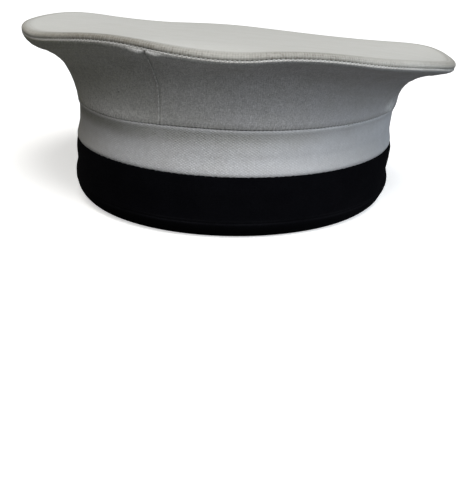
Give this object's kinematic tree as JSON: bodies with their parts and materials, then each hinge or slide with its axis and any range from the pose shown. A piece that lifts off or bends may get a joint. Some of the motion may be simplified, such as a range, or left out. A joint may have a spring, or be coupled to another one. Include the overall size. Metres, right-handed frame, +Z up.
{
  "type": "sailor cap",
  "caption": "Sailor cap without a peak: wavy round crown with a padded edge, flared sides sewn in quarters, a twill rise and a plain black band.",
  "frame": {"origin": "on the surface that the cap stands on, under the centre of the crown", "axes": "+Z up; the front faces -Y; the wearer's left is +X"},
  "size_m": [0.248, 0.248, 0.1042],
  "materials": {
    "crown_cloth": "smooth close-woven white cloth, soft sheen",
    "welt_cloth": "white cloth turned round a thin cord",
    "side_cloth": "matt woven white cloth with a fine upright grain",
    "rise_twill": "matt white twill with a clear diagonal",
    "band_cloth": "deep matt black cloth"
  },
  "bodies": {
    "root": {"crown_top": "crown_cloth", "rim_welt": "welt_cloth", "quarter_front_left": "side_cloth", "quarter_front_right": "side_cloth", "quarter_back_left": "side_cloth", "quarter_back_right": "side_cloth", "rise_band": "rise_twill", "cap_band": "band_cloth"}
  },
  "joints": []
}
